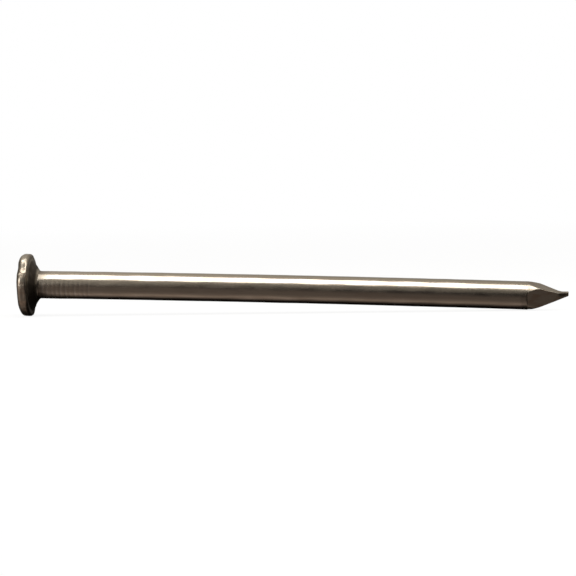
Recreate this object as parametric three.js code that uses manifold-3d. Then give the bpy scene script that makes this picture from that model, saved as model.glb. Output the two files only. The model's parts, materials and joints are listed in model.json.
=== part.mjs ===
// A round plain-head wire nail, lying on its side as it does on a bench.
// Millimetres, +Z up. The nail runs along X with its head at -X and its point at +X. It rests on
// the rim of its head and on the end of its shank, so its axis dips towards the point.
// The origin is on the bench, under the middle of the nail's bounding box.

import * as THREE from 'three';
import { mergeVertices } from 'three/addons/utils/BufferGeometryUtils.js';
import Module from 'manifold-3d';

const nailLength = 75;
const shankRadius = 1.9;

// Head: a flat striking face, a round-cornered rim, a narrow flat seat under it and a cone that
// runs into the shank. Heights are measured along the axis from the striking face.
const headRadius = 4.28;
const faceCorner = 0.62;
const seatCorner = 0.34;
const seatHeight = 1.45;
const seatRadius = 3.5;
const coneHeight = 2.53;
const filletRadius = 0.4;

// Gripper marks: shallow grooves round the shank, left where the wire was held for heading.
const gripStart = 3.2;
const gripPitch = 0.64;
const gripCount = 11;
const gripWidth = 0.3;
const gripDepth = 0.05;

// Point: four flats pinched into the end of the shank, each with the way that it faces, in degrees
// about the axis from -Y upwards, and its distance from the axis at the tip. The dies never close
// quite true, so the flats aren't square to each other and the blunt tip sits above the axis: the
// lower flat has crossed it by then.
const pointLength = 5.5;
const pointFlats = [
  { facing: 77, tipDistance: 0.42 },
  { facing: -15, tipDistance: 0.28 },
  { facing: -90, tipDistance: -0.14 },
  { facing: 166, tipDistance: 0.3 },
];
const dieLength = 18;
const dieSize = 6;

// Flats of the round surfaces. A multiple of four, so that one faces straight down.
const roundSegments = 24;
const cornerSteps = 4;

const wasm = await Module();
wasm.setup();

function toSolid(geometry) {
  geometry.deleteAttribute('normal');
  geometry.deleteAttribute('uv');
  const merged = mergeVertices(geometry, 1e-5);
  return new wasm.Manifold(new wasm.Mesh({
    numProp: 3,
    vertProperties: new Float32Array(merged.attributes.position.array),
    triVerts: new Uint32Array(merged.index.array),
  }));
}

function toGeometry(solid) {
  const mesh = solid.getMesh();
  const geometry = new THREE.BufferGeometry();
  geometry.setAttribute('position', new THREE.BufferAttribute(mesh.vertProperties, 3));
  geometry.setIndex(new THREE.BufferAttribute(mesh.triVerts, 1));
  geometry.computeVertexNormals();
  return geometry;
}

// A round corner of an outline, from one angle to another about its centre.
function arc(radius, height, size, from, to) {
  const points = [];
  for (let i = 0; i <= cornerSteps; i++) {
    const angle = THREE.MathUtils.degToRad(from + (to - from) * i / cornerSteps);
    points.push(new THREE.Vector2(
      radius + size * Math.cos(angle),
      height + size * Math.sin(angle),
    ));
  }
  return points;
}

function headOutline() {
  const coneAngle = Math.atan2(coneHeight - seatHeight, seatRadius - shankRadius);
  const filletReach = filletRadius * Math.tan((Math.PI / 2 - coneAngle) / 2);
  const filletTurn = THREE.MathUtils.radToDeg(Math.PI / 2 - coneAngle);
  return [
    new THREE.Vector2(0, 0),
    ...arc(headRadius - faceCorner, faceCorner, faceCorner, -90, 0),
    ...arc(headRadius - seatCorner, seatHeight - seatCorner, seatCorner, 0, 90),
    new THREE.Vector2(seatRadius, seatHeight),
    ...arc(shankRadius + filletRadius, coneHeight + filletReach, filletRadius, 180 + filletTurn, 180),
  ];
}

function gripOutline() {
  const points = [];
  for (let i = 0; i < gripCount; i++) {
    const middle = gripStart + i * gripPitch;
    points.push(new THREE.Vector2(shankRadius, middle - gripWidth / 2));
    points.push(new THREE.Vector2(shankRadius - gripDepth, middle));
    points.push(new THREE.Vector2(shankRadius, middle + gripWidth / 2));
  }
  return points;
}

// The nail before its point is pinched, turned round the axis as one closed solid. Flats stand at
// the true radius, so the corners between them lie just outside it.
function blankSolid() {
  const outline = [
    ...headOutline(),
    ...gripOutline(),
    new THREE.Vector2(shankRadius, nailLength),
    new THREE.Vector2(0, nailLength),
  ];
  const halfFlat = Math.PI / roundSegments;
  const flatToCorner = 1 / Math.cos(halfFlat);
  outline.forEach((point) => { point.x *= flatToCorner; });
  const geometry = new THREE.LatheGeometry(outline, roundSegments, halfFlat);
  geometry.rotateZ(-Math.PI / 2);
  return toSolid(geometry);
}

// One pinching die. Its lower face is the flat that it leaves on the point: it touches the shank
// where the point begins and stands off the axis by the flat's distance at the tip.
function pointDie({ facing, tipDistance }) {
  const slope = Math.atan2(shankRadius - tipDistance, pointLength);
  const geometry = new THREE.BoxGeometry(dieLength, dieSize * 2, dieSize);
  geometry.translate(0, 0, dieSize / 2);
  geometry.rotateY(slope);
  geometry.translate(nailLength, 0, tipDistance);
  geometry.rotateX(THREE.MathUtils.degToRad(90 - facing));
  return toSolid(geometry);
}

function nailGeometry() {
  let solid = blankSolid();
  pointFlats.forEach((flat) => { solid = solid.subtract(pointDie(flat)); });
  return toGeometry(solid);
}

// The dip that puts both the rim and the end of the shank on the bench.
function restDip() {
  const rimToPoint = nailLength - pointLength - (seatHeight - seatCorner);
  return Math.atan2(headRadius - shankRadius, rimToPoint);
}

function makeNail() {
  const geometry = nailGeometry();
  geometry.rotateY(restDip());
  geometry.computeBoundingBox();
  const box = geometry.boundingBox;
  geometry.translate(
    -(box.min.x + box.max.x) / 2,
    -(box.min.y + box.max.y) / 2,
    -box.min.z,
  );
  const steel = new THREE.MeshStandardMaterial({ color: 0x8c8377, roughness: 0.34, metalness: 1 });
  const nail = new THREE.Mesh(geometry, steel);
  nail.name = 'nail';
  return nail;
}

const group = new THREE.Group();
group.add(makeNail());

export default group;
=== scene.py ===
import json
import math

import bmesh
import bpy
from mathutils import Matrix, Vector, noise


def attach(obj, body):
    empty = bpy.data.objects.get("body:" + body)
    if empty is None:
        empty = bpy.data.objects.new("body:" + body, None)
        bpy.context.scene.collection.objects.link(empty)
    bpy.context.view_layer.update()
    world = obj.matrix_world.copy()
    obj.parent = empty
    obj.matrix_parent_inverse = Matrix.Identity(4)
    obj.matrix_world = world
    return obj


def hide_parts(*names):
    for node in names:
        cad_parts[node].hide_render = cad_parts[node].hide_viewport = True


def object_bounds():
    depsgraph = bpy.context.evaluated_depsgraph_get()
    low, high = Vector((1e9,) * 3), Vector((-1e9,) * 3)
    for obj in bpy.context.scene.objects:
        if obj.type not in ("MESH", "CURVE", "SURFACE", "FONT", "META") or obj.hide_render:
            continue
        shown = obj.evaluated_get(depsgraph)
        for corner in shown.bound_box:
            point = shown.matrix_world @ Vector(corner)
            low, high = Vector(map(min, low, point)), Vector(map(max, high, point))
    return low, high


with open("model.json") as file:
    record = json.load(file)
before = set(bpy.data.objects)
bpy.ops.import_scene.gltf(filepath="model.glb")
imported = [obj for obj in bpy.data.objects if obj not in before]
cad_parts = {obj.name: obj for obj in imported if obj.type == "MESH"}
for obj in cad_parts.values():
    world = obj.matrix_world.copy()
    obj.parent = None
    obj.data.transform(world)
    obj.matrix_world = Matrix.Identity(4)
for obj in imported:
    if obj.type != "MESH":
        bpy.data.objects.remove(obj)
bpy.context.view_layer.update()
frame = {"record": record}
mm = 0.001
mounts = {mount["name"]: mount for mount in frame["record"]["mounts"]}

# Where the nail lies: its striking face and the way its axis points, head to tip.
facePlace = Vector(mounts["striking_face"]["pos_m"])
axisWay = -Vector(mounts["striking_face"]["axis"]).normalized()
nailDip = math.atan2(-axisWay.z, axisWay.x)
nailPlace = Matrix.Translation(facePlace) @ Matrix.Rotation(nailDip, 4, "Y")
print("frame loaded, nail dips", round(math.degrees(nailDip), 2), "degrees")


class Signal:
    # a socket that takes part in ordinary arithmetic
    def __init__(self, graph, socket):
        self.graph = graph
        self.socket = socket

    def maths(self, operation, a, b, clamp=False):
        settings = {"operation": operation, "use_clamp": clamp}
        return self.graph.add("ShaderNodeMath", settings, {0: a, 1: b})

    def __add__(self, other):
        return self.maths("ADD", self, other)

    def __radd__(self, other):
        return self.maths("ADD", other, self)

    def __sub__(self, other):
        return self.maths("SUBTRACT", self, other)

    def __rsub__(self, other):
        return self.maths("SUBTRACT", other, self)

    def __mul__(self, other):
        return self.maths("MULTIPLY", self, other)

    def __rmul__(self, other):
        return self.maths("MULTIPLY", other, self)

    def __truediv__(self, other):
        return self.maths("DIVIDE", self, other)

    def __rtruediv__(self, other):
        return self.maths("DIVIDE", other, self)

    def clamped(self):
        return self.maths("ADD", self, 0.0, clamp=True)


class Graph:
    # the nodes of a material or of the world
    def __init__(self, owner):
        owner.use_nodes = True
        self.tree = owner.node_tree
        self.tree.nodes.clear()

    def add(self, kind, settings=None, values=None, output=0):
        node = self.tree.nodes.new(kind)
        for name, value in (settings or {}).items():
            if name == "stops":
                self.setStops(node.color_ramp, value)
            else:
                setattr(node, name, value)
        for name, value in (values or {}).items():
            if isinstance(value, Signal):
                self.tree.links.new(value.socket, node.inputs[name])
            else:
                node.inputs[name].default_value = value
        return Signal(self, node.outputs[output]) if node.outputs else None

    def setStops(self, ramp, stops):
        while len(ramp.elements) < len(stops):
            ramp.elements.new(0.5)
        for element, (position, colour) in zip(ramp.elements, stops):
            element.position = position
            element.color = (*colour, 1)

    def mix(self, factor, a, b):
        a, b = [(*colour, 1) if isinstance(colour, tuple) else colour for colour in (a, b)]
        return self.add("ShaderNodeMix", {"data_type": "RGBA"}, {0: factor, 6: a, 7: b}, output=2)

    def noise(self, vector, scale=1.0, detail=3.0, roughness=0.55):
        values = {"Vector": vector, "Scale": scale, "Detail": detail, "Roughness": roughness}
        return self.add("ShaderNodeTexNoise", {"noise_dimensions": "3D"}, values)

    def attribute(self, name):
        settings = {"attribute_type": "GEOMETRY", "attribute_name": name}
        return self.add("ShaderNodeAttribute", settings, output="Fac")

    def stretched(self, vector, along, across):
        # the same place measured in steps of these lengths, along the nail and across it
        steps = (1 / along, 1 / across, 1 / across)
        values = {"Vector": vector, "Scale": steps}
        return self.add("ShaderNodeMapping", {"vector_type": "POINT"}, values)


# Heights are measured along the nail's axis from its striking face. A way round the axis is given
# in degrees: 0 faces -Y, 90 faces up, -90 faces down.
nailShape = dict(
    length=75 * mm,
    shankRadius=1.9 * mm,
    shankTaper=0.018,         # the shank is this much thicker by the point than by the head
    bow=0.18 * mm,            # the shank arches up by this much in the middle
    columns=240,              # faces round the wire
    waviness=0.018 * mm,      # the drawing die leaves the wire very slightly uneven
    waveLength=2.2 * mm,
    waveWidth=0.8 * mm,
)

headShape = dict(
    radius=4.26 * mm,
    bulge=0.03 * mm,          # the rim is slightly barrel-shaped
    faceCorner=0.62 * mm,
    seatCorner=0.34 * mm,
    seatHeight=1.45 * mm,
    seatRadius=3.5 * mm,
    coneHeight=2.53 * mm,
    fillet=0.42 * mm,
    cock=1.5,                 # degrees that the head leans, top edge away from the point
    cockFades=(0.8, 1.25),    # from and to these shares of the cone's height the lean runs out
    middle=0.9 * mm,          # lumps and pits move the surface away from here
    lumps=0.05 * mm,
    lumpSize=1.1 * mm,
    pits=0.016 * mm,
    pitSize=0.42 * mm,
    pitsFrom=0.12,            # higher makes fewer pits
    facePits=0.3,             # shares of their full depth on the face, and added on the rim
    rimMorePits=2,
    rimPits=(0.55, 0.9),      # pits deepen between these shares of the radius
    rimFrom=0.7,              # knocks only move what is further out than this share of the radius
    facePush=0.5,             # knocks by the face push the rim towards the point by this share,
    seatPush=-0.6,            # and those by the seat push it back
    seatKnocks=1.2,           # knocks higher than this, in mm, are by the seat
)

# Knocks on the rim: the way they face in degrees, and in mm their height, how far they reach from
# their middle and their depth. Where the depth is negative the rim is swollen.
rimKnocks = [
    dict(facing=44, height=0.60, size=0.8, depth=0.09),
    dict(facing=31, height=0.95, size=0.5, depth=0.08),
    dict(facing=21, height=0.55, size=0.5, depth=0.07),
    dict(facing=38, height=0.15, size=1.4, depth=0.14),
    dict(facing=-18, height=0.10, size=1.6, depth=0.06),
    dict(facing=-20, height=0.75, size=0.9, depth=0.03),
    dict(facing=-103, height=1.30, size=1.3, depth=-0.13),
    dict(facing=-134, height=1.30, size=1.3, depth=0.14),
    dict(facing=-88, height=0.75, size=2.2, depth=-0.08),
    dict(facing=90, height=0.70, size=1.6, depth=0.05),
    dict(facing=128, height=0.40, size=0.8, depth=0.08),
    dict(facing=-150, height=0.60, size=0.6, depth=0.08),
]

gripShape = dict(
    start=3.2 * mm,
    pitch=0.64 * mm,
    count=11,
    width=0.46 * mm,
    depth=0.024 * mm,
    jitter=0.16,              # of a pitch that a mark wanders
    pressWay=-0.75,           # radians; the dies press hardest here and opposite
    leastPress=0.1,           # the share of their depth that is left where the dies part
    press=(0.7, 0.9),         # how deep the marks are on the whole, and how uneven
    patchiness=1.6,
    seeds=(5.3, 3.7),         # set each mark's noise apart from the next one's
    fade=0.55,                # how much shallower they get away from the head
)

# The point: four flats pinched into the wire, each with the way that it faces, the step that it
# starts with, how fast it closes in on the axis, how gently, and how soft its edges are. They stop
# at a blunt nub, which has been pushed upwards.
pointShape = dict(
    length=5.5 * mm,
    flats=[
        dict(facing=77, step=0.03 * mm, slope=0.30, easeIn=0.02 * mm, edge=0.09 * mm),
        dict(facing=-15, step=0.20 * mm, slope=0.265, easeIn=0.1 * mm, edge=0.09 * mm),
        dict(facing=-90, step=0, slope=0.437, easeIn=1.0 * mm, edge=0.2 * mm),
        dict(facing=166, step=0.18 * mm, slope=0.27, easeIn=0.1 * mm, edge=0.09 * mm),
    ],
    stepLength=0.1 * mm,
    nubHalfWidth=0.26 * mm,
    nubRise=0.073,            # how fast the middle of the point climbs off the axis
    shoulderSoftness=0.15 * mm,
    facingEnough=0.3,         # a flat reaches round to where the cosine falls to this
    endWear=0.06 * mm,        # the worn edge of the blunt end
    endRadius=0.8,            # the blunt end's share of the shank's radius, before it is pinched
)

# Rows of faces in each stretch of the outline.
rows = dict(
    face=22, faceCorner=14, rim=8, seatCorner=8, seat=4, cone=16, fillet=6,
    neck=4, grips=99, shank=70, pointStep=15, point=84, endWear=2, end=2,
)


def straightTo(bm, vert, height, radius, steps):
    begin, end = vert.co.copy(), Vector((height, 0, radius))
    for step in range(1, steps + 1):
        new = bm.verts.new(begin.lerp(end, step / steps))
        bm.edges.new((vert, new))
        vert = new
    return vert


def arcTo(bm, vert, centre, degrees, steps):
    turned = bmesh.ops.spin(
        bm, geom=[vert], cent=centre, axis=(0, 1, 0), angle=math.radians(degrees), steps=steps,
    )
    return next(part for part in turned["geom_last"] if isinstance(part, bmesh.types.BMVert))


def drawHead(bm):
    head, shank = headShape, nailShape["shankRadius"]
    corner, seatCorner = head["faceCorner"], head["seatCorner"]
    vert = bm.verts.new((0, 0, 0))
    vert = straightTo(bm, vert, 0, head["radius"] - corner, rows["face"])
    vert = arcTo(bm, vert, (corner, 0, head["radius"] - corner), 90, rows["faceCorner"])
    rimEnd = head["seatHeight"] - seatCorner
    vert = straightTo(bm, vert, rimEnd, head["radius"], rows["rim"])
    vert = arcTo(bm, vert, (rimEnd, 0, head["radius"] - seatCorner), 90, rows["seatCorner"])
    vert = straightTo(bm, vert, head["seatHeight"], head["seatRadius"], rows["seat"])
    slope = math.atan2(head["coneHeight"] - head["seatHeight"], head["seatRadius"] - shank)
    reach = head["fillet"] * math.tan((math.pi / 2 - slope) / 2)
    coneEnd = head["coneHeight"] - reach * math.sin(slope)
    vert = straightTo(bm, vert, coneEnd, shank + reach * math.cos(slope), rows["cone"])
    centre = (head["coneHeight"] + reach, 0, shank + head["fillet"])
    return arcTo(bm, vert, centre, math.degrees(slope) - 90, rows["fillet"])


def drawOutline(bm):
    vert = drawHead(bm)
    shank, length = nailShape["shankRadius"], nailShape["length"]
    gripStart = gripShape["start"] - gripShape["pitch"] / 2
    gripEnd = gripStart + gripShape["pitch"] * gripShape["count"]
    pointStart = length - pointShape["length"]
    vert = straightTo(bm, vert, gripStart, shank, rows["neck"])
    vert = straightTo(bm, vert, gripEnd, shank, rows["grips"])
    vert = straightTo(bm, vert, pointStart, shank, rows["shank"])
    vert = straightTo(bm, vert, pointStart + 3 * pointShape["stepLength"], shank, rows["pointStep"])
    vert = straightTo(bm, vert, length - pointShape["endWear"], shank, rows["point"])
    vert = straightTo(bm, vert, length, shank * pointShape["endRadius"], rows["endWear"])
    straightTo(bm, vert, length, 0, rows["end"])


def softMax(a, b, soft):
    blend = max(0.0, soft - abs(a - b))
    return max(a, b) + blend * blend / (4 * soft)


def smoothStep(low, high, value):
    t = min(max((value - low) / (high - low), 0.0), 1.0)
    return t * t * (3 - 2 * t)


def outwards(vert):
    return Vector((0, vert.co.y, vert.co.z)).normalized()


def wayRound(vert):
    return math.atan2(vert.co.z, -vert.co.y)


def gripDepthAt(vert):
    # The gripping dies close on the wire from two sides, so their marks fade where they part.
    grip = gripShape
    place = (vert.co.x - grip["start"]) / grip["pitch"]
    index = round(place)
    if not 0 <= index < grip["count"]:
        return 0.0
    way = wayRound(vert)
    aroundWire = Vector((0, math.cos(way), math.sin(way)))
    jitterSeed, patchSeed = [Vector((index * seed, 0, 0)) for seed in grip["seeds"]]
    jitter = grip["jitter"] * noise.noise(aroundWire + jitterSeed)
    off = min(1.0, abs(place - index - jitter) * grip["pitch"] / (grip["width"] / 2))
    pressed = (0.5 + 0.5 * math.cos(2 * (way - grip["pressWay"]))) ** 2
    parting = grip["leastPress"] + (1 - grip["leastPress"]) * pressed
    depth, unevenness = grip["press"]
    patches = noise.noise(aroundWire * grip["patchiness"] + patchSeed)
    uneven = max(depth + unevenness * patches, 0.0)
    fade = 1.0 - grip["fade"] * index / grip["count"]
    return (1 - off * off) ** 2 * parting * uneven * fade


def roughenShank(vert):
    along, across = nailShape["waveLength"], nailShape["waveWidth"]
    place = Vector((vert.co.x / along, vert.co.y / across, vert.co.z / across))
    vert.co += outwards(vert) * nailShape["waviness"] * noise.noise(place)


def knockShare(vert, knock):
    # 1 in the middle of the knock, 0 past its edge
    apart = wayRound(vert) - math.radians(knock["facing"])
    around = math.atan2(math.sin(apart), math.cos(apart)) * headShape["radius"]
    far = math.hypot(around, vert.co.x - knock["height"] * mm) / (knock["size"] * mm)
    return max(0.0, 1 - far * far) ** 2


def knockHead(vert):
    head = headShape
    radial = outwards(vert)
    spread = math.hypot(vert.co.y, vert.co.z)
    if spread > head["radius"] * head["rimFrom"]:
        offMiddle = 2 * vert.co.x / head["seatHeight"] - 1
        vert.co += radial * head["bulge"] * max(0.0, 1 - offMiddle * offMiddle)
        for knock in rimKnocks:
            bySeat = knock["height"] > head["seatKnocks"]
            inward = Vector((head["seatPush"] if bySeat else head["facePush"], 0, 0)) - radial
            vert.co += inward.normalized() * knock["depth"] * mm * knockShare(vert, knock)
    outer = smoothStep(*[share * head["radius"] for share in head["rimPits"]], spread)
    lump = noise.noise(vert.co / head["lumpSize"]) * head["lumps"]
    pit = max(0.0, noise.noise(vert.co / head["pitSize"]) - head["pitsFrom"])
    pit *= head["pits"] * (head["facePits"] + head["rimMorePits"] * outer)
    vert.co += (vert.co - Vector((head["middle"], 0, 0))).normalized() * (lump - pit)


def pinchPoint(vert):
    point, radius = pointShape, nailShape["shankRadius"]
    along = vert.co.x - (nailShape["length"] - point["length"])
    rise = point["nubRise"] * along
    way = wayRound(vert)
    reach = math.sqrt(radius ** 2 - (rise * math.cos(way)) ** 2) - rise * math.sin(way)
    for flat in point["flats"]:
        facing = math.radians(flat["facing"])
        drop = flat["slope"] * (math.hypot(along, flat["easeIn"]) - flat["easeIn"])
        drop += flat["step"] * smoothStep(0, point["stepLength"], along)
        standOff = radius - drop - rise * math.sin(facing)
        standOff = softMax(standOff, point["nubHalfWidth"], point["shoulderSoftness"])
        closeness = math.cos(way - facing)
        if closeness > point["facingEnough"]:
            reach = -softMax(-reach, -standOff / closeness, flat["edge"])
    vert.co.y *= reach / radius
    vert.co.z = vert.co.z * reach / radius + rise


def bendAndLean(vert):
    share = vert.co.x / nailShape["length"]
    size = 1 + nailShape["shankTaper"] * (share - 0.5)
    headEnd = headShape["coneHeight"]
    lean = 1 - smoothStep(*[share * headEnd for share in headShape["cockFades"]], vert.co.x)
    vert.co.y *= size
    vert.co.z *= size
    vert.co.x -= vert.co.z * math.tan(math.radians(headShape["cock"])) * lean
    vert.co.z += nailShape["bow"] * 4 * share * (1 - share)


# Where the dark scale and oil lie, where shade is painted under and beside the head and in the rim's
# dents, and where the dies have left the steel duller.
dirtAndShade = dict(
    overSeat=0.05 * mm,                # how far the scale and the painted shade under the head come up on the rim
    overSeatBelow=0.4 * mm,            # and how much further on its lower side, which is painted darker
    belowFrom=(0.35, 0.75),
    seatEdge=0.2 * mm,
    coneEdge=(0.1 * mm, 0.5 * mm),     # off the shank's surface
    cutFromEnd=0.75 * mm,              # the dark patch where the nail was cut off
    cutWay=-0.05,
    cutEdge=(0.3 * mm, 0.9 * mm),
    neck=0.62, neckLength=1.9 * mm,    # painted shade on the shank, next to the head
    # more painted shade on the lower side of the shank, further from the head
    belly=0.5, bellyEdge=(1.2 * mm, 6.5 * mm), bellyWay=(-20, -42),
    dents=0.22, dentDepth=0.06,        # painted shade, only in dents deeper than this, in mm
    dentsFrom=0.8,
    forgedHead=0.7, forgedHeadEdge=(1.2 * mm, 2.6 * mm),
    forgedPointEdge=0.25 * mm,
)


def grimeAndShadeAt(vert):
    # the dark scale and painted shade under the head, painted shade beside it and in the rim's dents, and
    # the dark patch where the point was cut off
    spread = math.hypot(vert.co.y, vert.co.z)
    way = wayRound(vert)
    below = smoothStep(*dirtAndShade["belowFrom"], -vert.co.z / max(spread, mm))
    start = headShape["seatHeight"] - dirtAndShade["overSeat"] - dirtAndShade["overSeatBelow"] * below
    scaleAndShadeUnderHead = smoothStep(0, dirtAndShade["seatEdge"], vert.co.x - start)
    scaleAndShadeUnderHead *= smoothStep(*dirtAndShade["coneEdge"], spread - nailShape["shankRadius"])
    fromCut = vert.co.x - nailShape["length"] + dirtAndShade["cutFromEnd"]
    cutOff = 1 - smoothStep(*dirtAndShade["cutEdge"], math.hypot(fromCut, (way - dirtAndShade["cutWay"]) * mm))
    pastHead = vert.co.x - headShape["coneHeight"]
    shadeByHead = 0.0
    if pastHead >= 0:
        lower = smoothStep(*[math.radians(degrees) for degrees in dirtAndShade["bellyWay"]], way)
        shadeByHead = dirtAndShade["neck"] * (1 - smoothStep(0, dirtAndShade["neckLength"], pastHead))
        shadeByHead += dirtAndShade["belly"] * lower * (1 - smoothStep(*dirtAndShade["bellyEdge"], pastHead))
    shadeInDents = 0.0
    if vert.co.x < headShape["seatHeight"] and spread > headShape["radius"] * dirtAndShade["dentsFrom"]:
        dents = [knock for knock in rimKnocks if knock["depth"] > dirtAndShade["dentDepth"]]
        shadeInDents = dirtAndShade["dents"] * sum(knockShare(vert, dent) for dent in dents)
    return min(1.0, scaleAndShadeUnderHead + cutOff + shadeByHead + shadeInDents)


def forgedAt(vert):
    # the head and the point, which the dies leave duller than the drawn wire
    fromHead = dirtAndShade["forgedHead"] * (1 - smoothStep(*dirtAndShade["forgedHeadEdge"], vert.co.x))
    pointStart = nailShape["length"] - pointShape["length"]
    return fromHead + smoothStep(0, dirtAndShade["forgedPointEdge"], vert.co.x - pointStart)


def makeNail():
    bm = bmesh.new()
    grime = bm.verts.layers.float.new("grime")
    forged = bm.verts.layers.float.new("forged")
    grip = bm.verts.layers.float.new("grip")
    drawOutline(bm)
    bmesh.ops.spin(
        bm, geom=bm.verts[:] + bm.edges[:], cent=(0, 0, 0), axis=(1, 0, 0),
        angle=math.tau, steps=nailShape["columns"], use_merge=True,
    )
    bmesh.ops.remove_doubles(bm, verts=bm.verts[:], dist=1e-7)
    pointStart = nailShape["length"] - pointShape["length"]
    for vert in bm.verts:
        vert[grime] = grimeAndShadeAt(vert)
        vert[forged] = forgedAt(vert)
        vert[grip] = gripDepthAt(vert)
        vert.co -= outwards(vert) * gripShape["depth"] * vert[grip]
        if vert.co.x <= headShape["coneHeight"]:
            knockHead(vert)
        elif vert.co.x < pointStart:
            roughenShank(vert)
        else:
            pinchPoint(vert)
        bendAndLean(vert)
    bmesh.ops.recalc_face_normals(bm, faces=bm.faces[:])
    bmesh.ops.transform(bm, matrix=nailPlace, verts=bm.verts[:])
    for face in bm.faces:
        face.smooth = True
    mesh = bpy.data.meshes.new("nailSteel")
    bm.to_mesh(mesh)
    bm.free()
    piece = bpy.data.objects.new("nailSteel", mesh)
    bpy.context.scene.collection.objects.link(piece)
    return piece


steelLook = dict(
    colour=(0.50, 0.44, 0.36),
    brown=(0.40, 0.325, 0.25),
    dull=(0.36, 0.325, 0.255),       # forged surfaces
    rust=(0.34, 0.22, 0.15),         # a first bloom of rust on them
    scale=(0.085, 0.07, 0.055),      # the dark scale in corners, also used to paint shade under and beside the head and in dents
    worn=(0.62, 0.57, 0.50),         # the gripper marks, rubbed bright
    roughness=0.22,
    linesRougher=0.10,               # how much each of these changes the roughness
    mottleRougher=0.16,
    grimeAndShadeRougher=0.2,
    forgedRougher=0.12,
    mottleFrom=0.42, mottleContrast=2.2,   # brown stain, in patches and in streaks
    streaksFrom=0.5, streaksContrast=1.6,
    stain=0.6,
    dulling=(0.15, 0.4, 0.3),        # everywhere, with the mottle and with the streaks
    rustStreaks=1.6, rustFrom=1.28, rustContrast=4.0,
    rusting=0.5,
    markContrast=1.6,
    marking=0.7,
    grimeAndShadeEven=0.75, grimeAndShadeMottle=0.5,
    grainSize=0.15 * mm,
    drawLineWidth=0.12 * mm,
    drawLineLength=14 * mm,
    streakWidth=0.4 * mm,
    streakLength=5 * mm,
    mottleSize=0.7 * mm,
    bumpHeight=0.012 * mm,
    bumpStrength=0.45,
    relief=(0.55, 0.25, 0.2),        # from the drawing lines, the streaks and the grain
)


def steelMaterial():
    look = steelLook
    material = bpy.data.materials.new("drawnSteel")
    g = Graph(material)
    coordinates = g.add("ShaderNodeTexCoord", output="Object")
    back = nailPlace.inverted()
    onNail = g.add(
        "ShaderNodeMapping", {"vector_type": "POINT"},
        {"Vector": coordinates, "Location": back.to_translation(), "Rotation": back.to_euler()},
    )
    lineSpace = g.stretched(onNail, look["drawLineLength"], look["drawLineWidth"])
    drawLines = g.noise(lineSpace, roughness=0.6)
    streaks = g.noise(g.stretched(onNail, look["streakLength"], look["streakWidth"]), detail=4.0)
    mottle = g.noise(g.stretched(onNail, look["mottleSize"] * 3, look["mottleSize"]), detail=4.0)
    grain = g.noise(onNail, scale=1 / look["grainSize"], detail=2.0, roughness=0.6)
    grime, grip, forged = [g.attribute(name) for name in ("grime", "grip", "forged")]

    stain = (mottle - look["mottleFrom"]) * look["mottleContrast"]
    stain = (stain + (streaks - look["streaksFrom"]) * look["streaksContrast"]).clamped()
    clean = g.mix(stain * look["stain"], look["colour"], look["brown"])
    evenly, byMottle, byStreaks = look["dulling"]
    clean = g.mix(forged * (evenly + mottle * byMottle + streaks * byStreaks), clean, look["dull"])
    rust = (streaks * look["rustStreaks"] + mottle - look["rustFrom"]) * look["rustContrast"]
    clean = g.mix(forged * rust.clamped() * look["rusting"], clean, look["rust"])
    marked = g.mix((grip * look["markContrast"]).clamped() * look["marking"], clean, look["worn"])
    # painted shade under and beside the head and in the rim's dents, along with the dark scale and the
    # cut-off patch
    grimeAndShadeShare = (grime * (look["grimeAndShadeEven"] + mottle * look["grimeAndShadeMottle"])).clamped()
    colour = g.mix(grimeAndShadeShare, marked, look["scale"])

    roughness = look["roughness"] + (drawLines - 0.5) * look["linesRougher"]
    roughness += (mottle - 0.5) * look["mottleRougher"]
    roughness += grime * look["grimeAndShadeRougher"] + forged * look["forgedRougher"]
    fromLines, fromStreaks, fromGrain = look["relief"]
    relief = drawLines * fromLines + streaks * fromStreaks + grain * fromGrain
    bump = g.add("ShaderNodeBump", {}, {
        "Strength": look["bumpStrength"], "Distance": look["bumpHeight"], "Height": relief,
    })
    shader = g.add("ShaderNodeBsdfPrincipled", {}, {
        "Base Color": colour, "Metallic": 1.0, "Roughness": roughness, "Normal": bump,
    })
    g.add("ShaderNodeOutputMaterial", {}, {"Surface": shader})
    return material


nail = makeNail()
nail.data.materials.append(steelMaterial())
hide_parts("nail")
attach(nail, "root")
print("nail made,", len(nail.data.polygons), "faces")

floorLook = dict(
    size=30.0,
    gap=0.01 * mm,            # below the lowest place on the nail
    glow=1.0,                 # far away, where it runs into the white surroundings
    shade=0.10,               # near the nail this much of it comes from the lights, so it takes a shadow
    nearGlow=0.898,
    nearRadius=0.10,
    farRadius=0.35,
)

# A softbox over the nail, in metres, degrees and watts.
keyLight = dict(
    height=0.36,
    depth=0.27,
    length=0.52,
    towardsPoint=0.09,
    towardsCamera=0.14,
    turn=-12,
    tilt=-12,
    power=1.7,
)

# Brightness of the surroundings as the steel sees them, by the angle round the nail in degrees:
# 0 is in front of it, 90 above, -90 below and 180 behind.
surroundings = [
    (-180, 0.30), (-168, 0.06), (-145, 0.004), (-118, 0.004), (-105, 0.05), (-93, 0.27), (-77, 0.42),
    (-62, 0.21), (-42, 0.140), (-15, 0.145), (5, 0.100), (22, 0.23), (40, 0.46), (60, 0.55), (92, 0.56),
    (105, 0.70), (120, 0.66), (150, 0.52), (180, 0.30),
]
surroundingsTint = (1.0, 0.95, 0.87)
lowerTint = (1.03, 0.86, 0.78)     # below and in front, where they are warmer
lowerAngles = (-110, 10)
plainTint = (1.0, 1.0, 1.0)

# What else stands round the nail: a soft window in front of it and past its head, a wall past
# each end, and some shade. A direction's share along the nail is -1 past the head and 1 past the
# point. Each change starts From a share and then grows this Fast.
roomShape = dict(
    window=(4.6, 4.5, 4.4), windowWay=(-0.60, -0.76, 0.26), windowFrom=0.95, windowFast=30.0,
    dimFrom=-0.19, dimFast=2.4, dimMost=0.3,       # the open surroundings, towards the point
    shadeFrom=-0.18, shadeFast=20.0,
    headWallFrom=0.36, headWallFast=2.2,
    pointWallFrom=0.62, pointWallFast=4.0,
)
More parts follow.
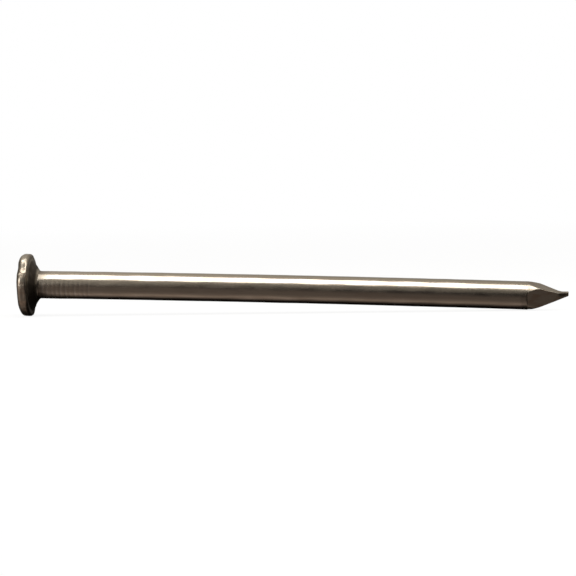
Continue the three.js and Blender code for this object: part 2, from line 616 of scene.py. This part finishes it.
# The walls past the head and past the point, and how much of the surroundings is shaded beside the
# point, all by the same angle.
headWall = [
    (-180, 0.10), (-120, 0.10), (-70, 0.30), (-10, 0.46), (20, 0.42), (45, 0.14), (120, 0.10), (180, 0.10),
]
pointWall = [
    (-180, 0.02), (20, 0.02), (50, 0.20), (130, 0.26), (160, 0.06), (180, 0.02),
]
pointShade = [
    (-180, 0.0), (-125, 0.6), (-103, 0.75), (-89, 0.66), (-77, 0.18), (-62, 0.0), (-30, 0.0), (-15, 0.32),
    (-6, 0.72), (3, 0.90), (12, 0.80), (21, 0.55), (40, 0.44), (62, 0.10), (80, 0.0), (180, 0.0),
]

cameraPlace = dict(
    azimuth=7.74, elevation=3.0, roll=-1.13,
    distance=0.5,
    target=(-0.545 * mm, 0, 3.364 * mm),
    lens=229.75, sensor=36,   # in mm
    clipStart=0.01,
)


def makeFloor():
    look = floorLook
    bm = bmesh.new()
    bmesh.ops.create_grid(bm, x_segments=1, y_segments=1, size=look["size"] / 2)
    mesh = bpy.data.meshes.new("floor")
    bm.to_mesh(mesh)
    bm.free()
    floor = bpy.data.objects.new("floor", mesh)
    floor.location.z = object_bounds()[0][2] - look["gap"]
    bpy.context.scene.collection.objects.link(floor)
    material = bpy.data.materials.new("paleFloor")
    g = Graph(material)
    place = g.add("ShaderNodeTexCoord", output="Object")
    away = g.add("ShaderNodeVectorMath", {"operation": "LENGTH"}, {0: place}, output="Value")
    near = ((look["farRadius"] - away) / (look["farRadius"] - look["nearRadius"])).clamped()
    strength = look["glow"] - near * (look["glow"] - look["nearGlow"])
    shade = near * look["shade"]
    colour = g.mix(shade, (0.0, 0.0, 0.0), (1.0, 1.0, 1.0))
    glow = g.add("ShaderNodeEmission", {}, {"Color": (1, 1, 1, 1), "Strength": strength})
    matt = g.add("ShaderNodeBsdfDiffuse", {}, {"Color": colour})
    both = g.add("ShaderNodeAddShader", {}, {0: glow, 1: matt})
    g.add("ShaderNodeOutputMaterial", {}, {"Surface": both})
    mesh.materials.append(material)
    floor.visible_glossy = False


def makeWorld():
    room = roomShape
    world = bpy.data.worlds.new("studio")
    bpy.context.scene.world = world
    g = Graph(world)
    way = g.add("ShaderNodeTexCoord", output="Generated")
    x, y, z = [g.add("ShaderNodeSeparateXYZ", {}, {0: way}, output=axis) for axis in "XYZ"]
    angle = g.add("ShaderNodeMath", {"operation": "ARCTAN2"}, {0: z, 1: 0.0 - y}) * (180 / math.pi)

    def byAngle(table, tint, tintBelow):
        stops = []
        for degrees, value in table:
            below = lowerAngles[0] < degrees < lowerAngles[1]
            colour = tuple(value * channel for channel in (tintBelow if below else tint))
            stops.append((degrees / 360 + 0.5, colour))
        return g.add("ShaderNodeValToRGB", {"stops": stops}, {"Fac": angle / 360 + 0.5})

    seen = byAngle(surroundings, surroundingsTint, lowerTint)
    dim = ((x - room["dimFrom"]) * room["dimFast"]).clamped()
    dim = g.add("ShaderNodeMath", {"operation": "MINIMUM"}, {0: dim, 1: room["dimMost"]})
    seen = g.mix(dim, seen, (0.0, 0.0, 0.0))
    beside = ((x - room["shadeFrom"]) * room["shadeFast"]).clamped()
    seen = g.mix(byAngle(pointShade, plainTint, plainTint) * beside, seen, (0.0, 0.0, 0.0))
    pastHead = ((0.0 - x - room["headWallFrom"]) * room["headWallFast"]).clamped()
    seen = g.mix(pastHead, seen, byAngle(headWall, surroundingsTint, lowerTint))
    pastPoint = ((x - room["pointWallFrom"]) * room["pointWallFast"]).clamped()
    seen = g.mix(pastPoint, seen, byAngle(pointWall, surroundingsTint, lowerTint))
    values = {0: way, 1: Vector(room["windowWay"]).normalized()}
    facing = g.add("ShaderNodeVectorMath", {"operation": "DOT_PRODUCT"}, values, output="Value")
    inWindow = ((facing - room["windowFrom"]) * room["windowFast"]).clamped()
    seen = g.mix(inWindow, seen, room["window"])

    # the camera sees plain white past the nail
    path = g.add("ShaderNodeLightPath", output="Is Camera Ray")
    seen = g.mix(path, seen, (1.0, 1.0, 1.0))
    background = g.add("ShaderNodeBackground", {}, {"Color": seen, "Strength": 1.0})
    g.add("ShaderNodeOutputWorld", {}, {"Surface": background})


def makeKeyLight():
    light = bpy.data.lights.new("overheadSoftbox", "AREA")
    light.shape = "RECTANGLE"
    light.size = keyLight["length"]
    light.size_y = keyLight["depth"]
    light.energy = keyLight["power"]
    softbox = bpy.data.objects.new("overheadSoftbox", light)
    softbox.location = (keyLight["towardsPoint"], -keyLight["towardsCamera"], keyLight["height"])
    softbox.rotation_euler = (0, math.radians(keyLight["tilt"]), math.radians(keyLight["turn"]))
    softbox.visible_camera = False
    bpy.context.scene.collection.objects.link(softbox)


def makeCamera():
    place = cameraPlace
    azimuth, elevation = math.radians(place["azimuth"]), math.radians(place["elevation"])
    back = Vector((
        math.sin(azimuth) * math.cos(elevation),
        -math.cos(azimuth) * math.cos(elevation),
        math.sin(elevation),
    ))
    data = bpy.data.cameras.new("camera")
    data.sensor_width = place["sensor"]
    data.lens = place["lens"]
    data.clip_start = place["clipStart"]
    camera = bpy.data.objects.new("camera", data)
    roll = Matrix.Rotation(math.radians(place["roll"]), 3, "Z").to_quaternion()
    camera.rotation_mode = "QUATERNION"
    camera.rotation_quaternion = back.to_track_quat("Z", "Y") @ roll
    camera.location = Vector(place["target"]) + back * place["distance"]
    bpy.context.scene.collection.objects.link(camera)
    bpy.context.scene.camera = camera


makeFloor()
makeWorld()
makeKeyLight()
makeCamera()
bpy.context.scene.view_settings.view_transform = "Standard"
print("stage set")
